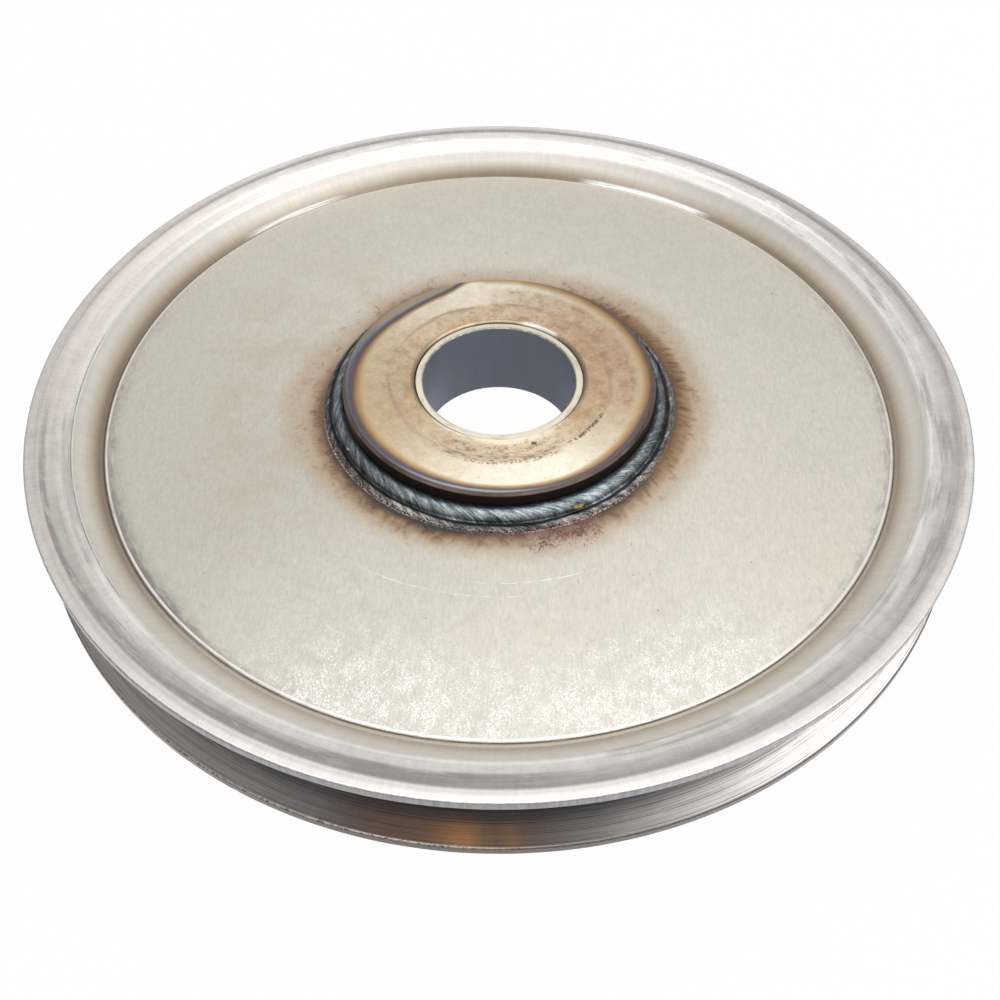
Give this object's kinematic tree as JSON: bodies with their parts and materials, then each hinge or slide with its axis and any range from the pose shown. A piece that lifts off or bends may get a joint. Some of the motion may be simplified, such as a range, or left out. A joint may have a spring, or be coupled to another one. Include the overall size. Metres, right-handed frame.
{
  "type": "wire rope sheave",
  "caption": "Rolled steel rope sheave with a flat web, a V groove round its edge, a hub welded in on both faces and a thin plain bush in its bore.",
  "frame": {"origin": "centre of the bore at the disc's mid-plane", "axes": "+Z along the bore axis, +X and +Y across the disc; the part is round about Z and alike above and below"},
  "size_m": [0.3, 0.3, 0.0296],
  "materials": {
    "disc_steel": "rolled steel, fine matt grain, unpainted",
    "hub_steel": "turned steel with straw to blue heat tint",
    "weld_metal": "as-laid fillet weld with fine ripples",
    "bush_metal": "steel-backed bush with a grey sliding layer"
  },
  "bodies": {
    "root": {"sheave_disc": "disc_steel", "hub": "hub_steel", "weld_top": "weld_metal", "weld_bottom": "weld_metal", "bush": "bush_metal"}
  },
  "joints": []
}
